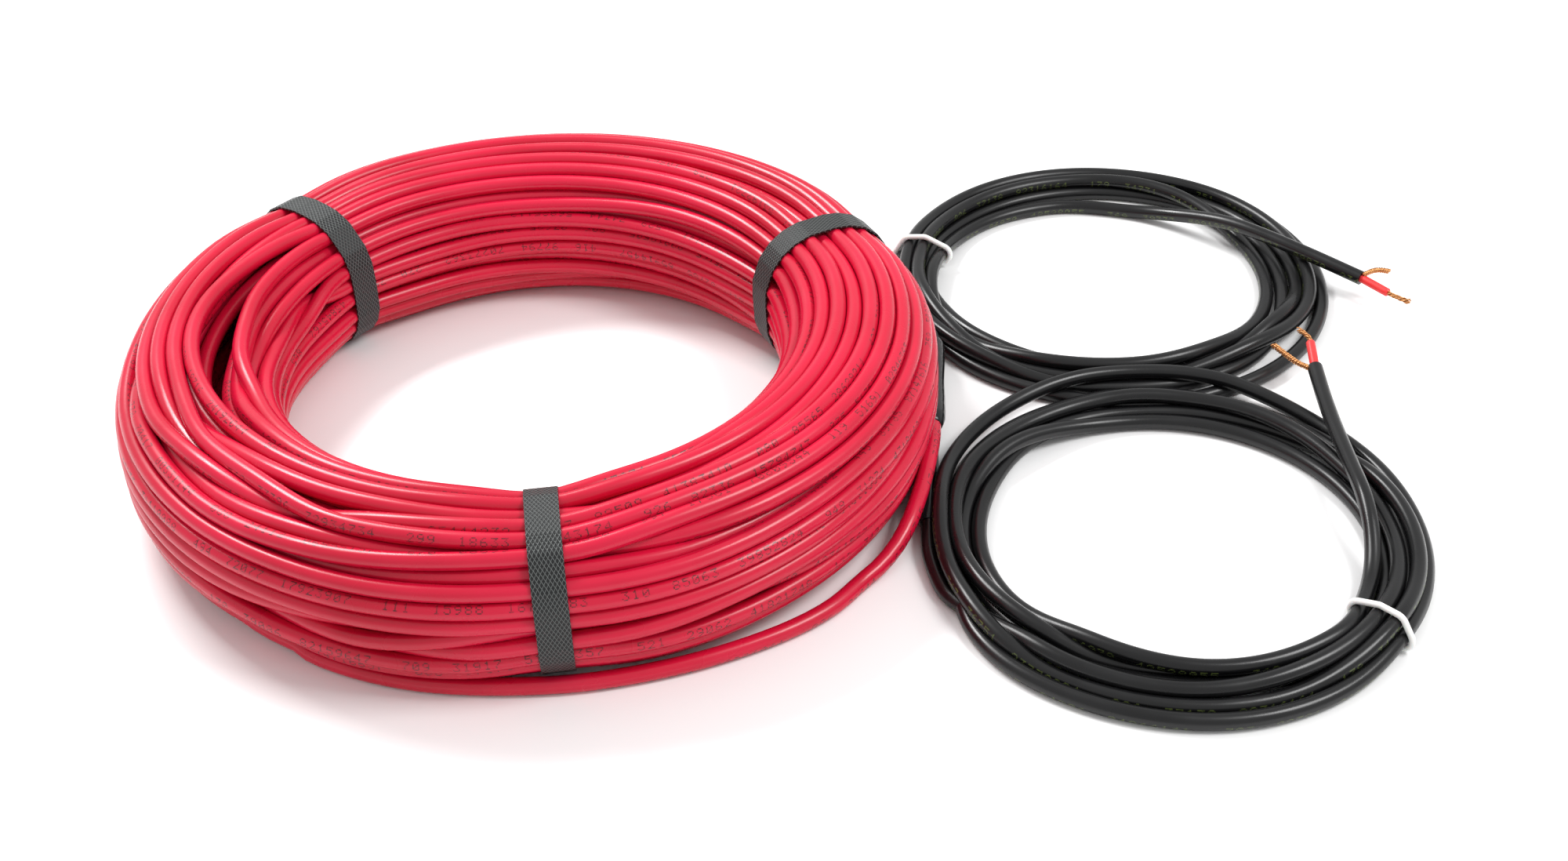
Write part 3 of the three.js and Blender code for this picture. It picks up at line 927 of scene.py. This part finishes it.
# %% Cores, conductors and screens at the two cut ends
CORE_RADIUS = 0.00155
CORE_LENGTH = 0.0120
ENDS = {
    "front": {
        "core": [0.06, 0.97, 0.22], "conductor": [-0.45, 0.86, -0.05],
        "screen": [[-2.0, -0.6, 0.2], [-5.2, 4, -0.4], [-7.6, 9.6, -1.0], [-10.6, 16.2, -1.2]],
    },
    "rear": {
        "core": [0.62, -0.78, -0.06], "conductor": [0.85, -0.5, -0.15],
        "screen": [[0.4, -0.4, 1.6], [2.6, 0.2, 2.4], [5.2, 1.6, 2.2], [8.0, 0.9, 2.5], [10.4, 0.4, 2.1]],
    },
}
bared = {"front": [], "rear": []}
for side, route in zip(("front", "rear"), lead_routes):
    facts = ENDS[side]
    cut = route[-1]
    core_way = np.array(facts["core"]) / np.linalg.norm(facts["core"])
    core_start = cut - core_way * 0.001
    core_profile = [
        (0.0, CORE_RADIUS * 0.96), (0.002, CORE_RADIUS), (CORE_LENGTH * 0.5, CORE_RADIUS * 1.01),
        (CORE_LENGTH, CORE_RADIUS), (CORE_LENGTH + 0.0007, CORE_RADIUS * 0.99),
        (CORE_LENGTH + 0.001, CORE_RADIUS * 0.86),
    ]
    core = turned_along(f"{side}_red_core", core_start, core_way, core_profile, sides=24)
    core_end = core_start + core_way * (CORE_LENGTH + 0.0007)
    conductor_way = np.array(facts["conductor"]) / np.linalg.norm(facts["conductor"])
    conductor_line = [
        core_end - core_way * 0.0005, core_end + core_way * 0.0014,
        core_end + core_way * 0.0028 + conductor_way * 0.002,
        core_end + core_way * 0.0028 + conductor_way * 0.0062,
    ]
    conductor = twisted_wires(f"{side}_copper_strands", conductor_line, 0.00062, 0.00025, 9, 1.6, splay=1.0)
    screen_line = [cut + np.array(point) * MM for point in facts["screen"]]
    screen = twisted_wires(f"{side}_screen_wires", screen_line, 0.00072, 0.00030, 9, 5.0, splay=0.4)
    for piece, node, slot_name in (
        (core, "core", "red_core"),
        (conductor, "conductor", "bare_copper"),
        (screen, "screen", "bare_copper"),
    ):
        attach(piece, "root")
        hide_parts(f"{side}_lead_{node}")
        bared[side].append(piece)
    print(side, "end cut at", (cut / MM).round(1))

# %% [markdown]
# The red cable runs from sleeve to sleeve, and each cold lead from its sleeve to its
# bared end. Their lengths are those of their lines.

# %% [markdown]
# ## Building materials from nodes
# A small set of helpers keeps the node trees short. One adds any node, one works with a
# Math node, and one lays a pattern into the bump.

# %% Helpers for node trees


class Paint:
    """A material and short ways to add nodes to it."""

    def __init__(self, name):
        self.material = bpy.data.materials.new(name)
        self.material.use_nodes = True
        self.tree = self.material.node_tree
        self.shader = self.tree.nodes["Principled BSDF"]

    def node(self, kind, **settings):
        node = self.tree.nodes.new(kind)
        for key, value in settings.items():
            setattr(node, key, value)
        return node

    def link(self, source, target):
        self.tree.links.new(source, target)

    def feed(self, socket, value):
        if isinstance(value, bpy.types.NodeSocket):
            self.link(value, socket)
        else:
            socket.default_value = value

    def maths(self, operation, a, b=0.0, c=None):
        node = self.node("ShaderNodeMath", operation=operation)
        self.feed(node.inputs[0], a)
        self.feed(node.inputs[1], b)
        if c is not None:
            self.feed(node.inputs[2], c)
        return node.outputs[0]

    def uv(self):
        split = self.node("ShaderNodeSeparateXYZ")
        self.link(self.node("ShaderNodeUVMap", uv_map="UVMap").outputs["UV"], split.inputs[0])
        return split.outputs["X"], split.outputs["Y"]

    def noise(self, scale, detail=2.0, roughness=0.5):
        node = self.node("ShaderNodeTexNoise")
        node.inputs["Scale"].default_value = scale
        node.inputs["Detail"].default_value = detail
        node.inputs["Roughness"].default_value = roughness
        place = self.node("ShaderNodeTexCoord").outputs["Object"]
        self.link(place, node.inputs["Vector"])
        return node.outputs["Fac"]

    def spread(self, value, low, high, from_low=0.0, from_high=1.0, smooth=False):
        node = self.node("ShaderNodeMapRange")
        node.interpolation_type = "SMOOTHSTEP" if smooth else "LINEAR"
        node.inputs["From Min"].default_value = from_low
        node.inputs["From Max"].default_value = from_high
        node.inputs["To Min"].default_value = low
        node.inputs["To Max"].default_value = high
        self.link(value, node.inputs["Value"])
        return node.outputs["Result"]

    def mix(self, share, one, other):
        node = self.node("ShaderNodeMix", data_type="RGBA")
        self.feed(node.inputs["Factor"], share)
        self.feed(node.inputs["A"], one)
        self.feed(node.inputs["B"], other)
        return node.outputs["Result"]

    def bump(self, height, strength, distance):
        node = self.node("ShaderNodeBump")
        node.inputs["Strength"].default_value = strength
        node.inputs["Distance"].default_value = distance
        self.link(height, node.inputs["Height"])
        self.link(node.outputs["Normal"], self.shader.inputs["Normal"])

    def set(self, **values):
        for name, value in values.items():
            self.feed(self.shader.inputs[name.replace("_", " ")], value)


# %% [markdown]
# ## Printed numbers
# The sheath carries a line of small dot-printed numbers. Each character cell along the
# cable draws a digit by chance. A digit is five columns of seven dots, and each column is
# a number whose bits are its dots, so two stepped colour ramps hold all ten digits.

# %% A line of dot-printed digits
DIGIT_COLUMNS = [
    0x3E, 0x51, 0x49, 0x45, 0x3E, 0x00, 0x42, 0x7F, 0x40, 0x00, 0x42, 0x61, 0x51, 0x49, 0x46,
    0x21, 0x41, 0x45, 0x4B, 0x31, 0x18, 0x14, 0x12, 0x7F, 0x10, 0x27, 0x45, 0x45, 0x45, 0x39,
    0x3C, 0x4A, 0x49, 0x49, 0x30, 0x01, 0x71, 0x09, 0x05, 0x03, 0x36, 0x49, 0x49, 0x49, 0x36,
    0x06, 0x49, 0x49, 0x29, 0x1E,
]
DIGIT_PITCH = 0.0029
DOT_PITCH = 0.00040
DOTS_HIGH = 7
DOT_COLUMNS = 5


def column_ramp(paint, share, columns):
    """The bits of one digit column, as a share of 128, from a stepped ramp."""
    ramp = paint.node("ShaderNodeValToRGB")
    ramp.color_ramp.interpolation = "CONSTANT"
    stops = ramp.color_ramp.elements
    for index, bits in enumerate(columns):
        stop = stops[index] if index < 2 else stops.new(index / len(columns))
        stop.position = index / len(columns)
        stop.color = (bits / 128, bits / 128, bits / 128, 1)
    paint.link(share, ramp.inputs[0])
    return ramp.outputs["Color"]


def printed_numbers(paint, diameter, middle_round, sway):
    """1 where the ink is, 0 elsewhere."""
    along, around = paint.uv()
    slow = paint.node("ShaderNodeTexNoise", noise_dimensions="1D")
    slow.inputs["Scale"].default_value = 1.3
    slow.inputs["Detail"].default_value = 1.0
    paint.link(along, slow.inputs["W"])
    drift = paint.maths("MULTIPLY_ADD", slow.outputs["Fac"], sway, middle_round - sway / 2)
    round_share = paint.maths("FRACT", paint.maths("ADD", paint.maths("SUBTRACT", around, drift), 1.0))
    dot_share = DOT_PITCH / (math.pi * diameter)
    row = paint.maths("FLOOR", paint.maths("DIVIDE", round_share, dot_share))
    in_rows = paint.maths("LESS_THAN", row, DOTS_HIGH)
    cell_place = paint.maths("DIVIDE", along, DIGIT_PITCH)
    cell = paint.maths("FLOOR", cell_place)
    dots_along = paint.maths("MULTIPLY", paint.maths("FRACT", cell_place), DIGIT_PITCH / DOT_PITCH)
    column = paint.maths("FLOOR", dots_along)
    in_columns = paint.maths("LESS_THAN", column, DOT_COLUMNS)
    dice_node = paint.node("ShaderNodeTexWhiteNoise", noise_dimensions="1D")
    paint.link(cell, dice_node.inputs["W"])
    digit = paint.maths("FLOOR", paint.maths("MULTIPLY", dice_node.outputs["Value"], 9.99))
    index = paint.maths("ADD", paint.maths("MULTIPLY_ADD", digit, DOT_COLUMNS, column), 0.5)
    half = len(DIGIT_COLUMNS) // 2
    low = column_ramp(paint, paint.maths("DIVIDE", index, half), DIGIT_COLUMNS[:half])
    high_share = paint.maths("DIVIDE", paint.maths("SUBTRACT", index, half), half)
    high = column_ramp(paint, high_share, DIGIT_COLUMNS[half:])
    use_high = paint.maths("GREATER_THAN", index, half)
    bits = paint.maths("ADD", paint.maths("MULTIPLY", low, paint.maths("SUBTRACT", 1.0, use_high)),
                     paint.maths("MULTIPLY", high, use_high))
    bits = paint.maths("ROUND", paint.maths("MULTIPLY", bits, 128))
    shifted = paint.maths("FLOOR", paint.maths("DIVIDE", bits, paint.maths("POWER", 2.0, row)))
    inked = paint.maths("MODULO", shifted, 2.0)
    place_in_group = paint.maths("MODULO", cell, 23.0)
    in_first = paint.maths("LESS_THAN", place_in_group, 8.0)
    in_second = paint.maths("COMPARE", place_in_group, 12.0, 1.6)
    in_third = paint.maths("COMPARE", place_in_group, 18.0, 2.6)
    in_group = paint.maths("MAXIMUM", in_first, paint.maths("MAXIMUM", in_second, in_third))
    in_digit = paint.maths("MULTIPLY", in_rows, in_columns)
    mask = paint.maths("MULTIPLY", in_digit, paint.maths("MULTIPLY", inked, in_group))
    worn = paint.spread(paint.noise(900.0, 1.0), 0.45, 1.0, 0.35, 0.6)
    return paint.maths("MULTIPLY", mask, worn)


# %% [markdown]
# ## Red sheath
# Extruded PVC with a satin gloss. It is a clear red that varies a little along the cable,
# and the ink sits on it as dark dots.

# %% Red sheath
red_sheath = Paint("red_sheath_pvc")
tone = red_sheath.spread(red_sheath.noise(18.0, 3.0), 0.0, 1.0, 0.35, 0.65)
red_colour = red_sheath.mix(tone, (0.50, 0.003, 0.025, 1), (0.63, 0.006, 0.042, 1))
ink = printed_numbers(red_sheath, CABLE_DIAMETER, 0.42, 2.4)
red_sheath.set(
    Base_Color=red_sheath.mix(red_sheath.maths("MULTIPLY", ink, 0.95), red_colour, (0.09, 0.012, 0.016, 1)),
    Roughness=red_sheath.spread(red_sheath.noise(60.0, 3.0), 0.24, 0.33, 0.3, 0.7),
    Specular_IOR_Level=0.42,
)
red_sheath.bump(red_sheath.noise(1500.0, 2.0), 0.08, 0.0001)
heating_cable.data.materials.append(red_sheath.material)

# %% [markdown]
# ## Black sheath
# The same extruded PVC in black, with olive green dots.

# %% Black sheath
black_sheath = Paint("black_sheath_pvc")
tone = black_sheath.spread(black_sheath.noise(25.0, 3.0), 0.0, 1.0, 0.3, 0.7)
black_colour = black_sheath.mix(tone, (0.003, 0.003, 0.0034, 1), (0.007, 0.007, 0.0076, 1))
ink = printed_numbers(black_sheath, LEAD_DIAMETER, 0.40, 0.9)
ink_cover = black_sheath.maths("MULTIPLY", ink, 0.8)
black_sheath.set(
    Base_Color=black_sheath.mix(ink_cover, black_colour, (0.10, 0.13, 0.035, 1)),
    Roughness=black_sheath.spread(black_sheath.noise(70.0, 3.0), 0.24, 0.36, 0.3, 0.7),
    Specular_IOR_Level=0.42,
)
black_sheath.bump(black_sheath.noise(1300.0, 2.0), 0.1, 0.0001)
for lead in lead_cables:
    lead.data.materials.append(black_sheath.material)

# %% [markdown]
# ## Webbing
# Woven from flat, shiny plastic tapes that cross at a slant, so a net of pale ridges in
# diamonds shows on charcoal. The pale of the net is partly lighter threads and partly a
# painted sheen, the highlight of the shiny ridges put into the colour. The pattern reads
# the strap's own UV map, in metres along and across, and is both a colour and a bump.

# %% Webbing
webbing = Paint("strap_webbing")
along, across = webbing.uv()
DIAMOND_WIDTH = 0.00125
DIAMOND_LENGTH = 0.0021


def slanting_ridge(paint, along, across, sign):
    place = paint.maths("ADD", paint.maths("DIVIDE", across, DIAMOND_WIDTH),
                      paint.maths("MULTIPLY", along, sign / DIAMOND_LENGTH))
    within = paint.maths("FRACT", paint.maths("ADD", place, 200.0))
    wave = paint.maths("ABSOLUTE", paint.maths("SUBTRACT", within, 0.5))
    return paint.spread(wave, 1.0, 0.0, 0.0, 0.13, smooth=True), paint.spread(wave, 1.0, 0.0, 0.0, 0.5)


ridge_one, slope_one = slanting_ridge(webbing, along, across, 1.0)
ridge_two, slope_two = slanting_ridge(webbing, along, across, -1.0)
ridges_and_sheen = webbing.maths("MAXIMUM", ridge_one, ridge_two)
weft = webbing.maths("SINE", webbing.maths("MULTIPLY", along, 2 * math.pi / 0.0007))
height = webbing.maths("ADD", webbing.maths("MULTIPLY", slope_one, slope_two),
                     webbing.maths("MULTIPLY_ADD", weft, 0.12, 0.0))
height = webbing.maths("ADD", height, webbing.maths("MULTIPLY", ridges_and_sheen, 0.35))
# The pale colour of the ridge net is partly the weave's lighter threads and partly a painted sheen, the
# highlight that the shiny ridges catch.
webbing.set(
    Base_Color=webbing.mix(ridges_and_sheen, (0.005, 0.006, 0.0065, 1), (0.12, 0.13, 0.126, 1)),
    Roughness=webbing.spread(ridges_and_sheen, 0.5, 0.34),
    Specular_IOR_Level=0.4,
)
webbing.bump(height, 0.55, 0.00022)
for strap in straps:
    strap.data.materials.append(webbing.material)

# %% [markdown]
# ## Shrink tube, ties, cores and copper
# The shrink tube is the glossiest piece. The ties are white PVC over wire. The core's
# insulation is a lighter, softer red than the sheath. The copper is metal whose colour
# goes between bright and brown in small patches.

# %% Shrink tube
shrink = Paint("shrink_tube")
shrink.set(
    Base_Color=shrink.mix(shrink.noise(120.0, 2.0), (0.006, 0.006, 0.007, 1), (0.012, 0.012, 0.013, 1)),
    Roughness=shrink.spread(shrink.noise(200.0, 3.0), 0.10, 0.24, 0.3, 0.7),
    Specular_IOR_Level=0.35,
)
shrink.bump(shrink.noise(380.0, 2.0), 0.25, 0.0003)
for sleeve in sleeves:
    sleeve.data.materials.append(shrink.material)

# %% White ties
tie_paint = Paint("white_tie_pvc")
tie_paint.set(
    Base_Color=tie_paint.mix(tie_paint.noise(300.0, 2.0), (0.80, 0.80, 0.78, 1), (0.90, 0.90, 0.88, 1)),
    Roughness=tie_paint.spread(tie_paint.noise(500.0, 2.0), 0.35, 0.5, 0.3, 0.7),
    Subsurface_Weight=0.1,
    Subsurface_Scale=0.001,
)
tie_paint.bump(tie_paint.noise(900.0, 2.0), 0.15, 0.0001)
for tie in ties:
    tie.data.materials.append(tie_paint.material)

# %% Red core insulation
core_paint = Paint("core_insulation")
core_paint.set(
    Base_Color=core_paint.mix(core_paint.noise(300.0, 2.0), (0.72, 0.022, 0.024, 1), (0.86, 0.045, 0.045, 1)),
    Roughness=core_paint.spread(core_paint.noise(700.0, 2.0), 0.34, 0.46, 0.3, 0.7),
    Subsurface_Weight=0.08,
    Subsurface_Scale=0.001,
)
core_paint.bump(core_paint.noise(1500.0, 2.0), 0.12, 0.0001)

# %% Copper
copper = Paint("bare_copper_wire")
copper.set(
    Base_Color=copper.mix(copper.noise(700.0, 3.0), (0.40, 0.16, 0.055, 1), (0.78, 0.40, 0.17, 1)),
    Metallic=1.0,
    Roughness=copper.spread(copper.noise(900.0, 2.0), 0.28, 0.5, 0.3, 0.7),
)
for side in ("front", "rear"):
    core, conductor, screen = bared[side]
    core.data.materials.append(core_paint.material)
    conductor.data.materials.append(copper.material)
    screen.data.materials.append(copper.material)
print("materials", [m.name for m in bpy.data.materials])

# %% [markdown]
# ## Floor and light
# A plain white sweep and soft overhead boxes, as in a product studio.

# %% Floor
floor_mesh = bpy.data.meshes.new("floor")
shape = bmesh.new()
bmesh.ops.create_grid(shape, x_segments=1, y_segments=1, size=6)
shape.to_mesh(floor_mesh)
shape.free()
floor = bpy.data.objects.new("floor", floor_mesh)
bpy.context.collection.objects.link(floor)
floor_paint = bpy.data.materials.new("floor_paper")
floor_paint.use_nodes = True
floor_paint.node_tree.nodes["Principled BSDF"].inputs["Base Color"].default_value = (0.93, 0.93, 0.93, 1)
floor_paint.node_tree.nodes["Principled BSDF"].inputs["Roughness"].default_value = 0.6
floor_mesh.materials.append(floor_paint)

# %% Light
world = bpy.data.worlds.new("studio")
world.use_nodes = True
world.node_tree.nodes["Background"].inputs["Color"].default_value = (1, 1, 1, 1)
world.node_tree.nodes["Background"].inputs["Strength"].default_value = 0.74
bpy.context.scene.world = world


def soft_box(name, place, aim, size, power):
    light = bpy.data.lights.new(name, "AREA")
    light.shape = "RECTANGLE"
    light.size, light.size_y = size
    light.energy = power
    holder = bpy.data.objects.new(name, light)
    way = Vector(aim) - Vector(place)
    turn = way.to_track_quat("-Z", "Y").to_matrix().to_4x4()
    holder.matrix_world = Matrix.Translation(Vector(place)) @ turn
    bpy.context.collection.objects.link(holder)
    return holder


soft_box("key_box", (-0.5, 0.55, 0.95), (0, 0, 0), (0.5, 0.22), 12)
soft_box("fill_box", (0.75, -0.2, 0.9), (0.1, 0, 0), (0.4, 0.4), 7)

# %% Colours as the camera sees them
bpy.context.scene.view_settings.view_transform = "Standard"
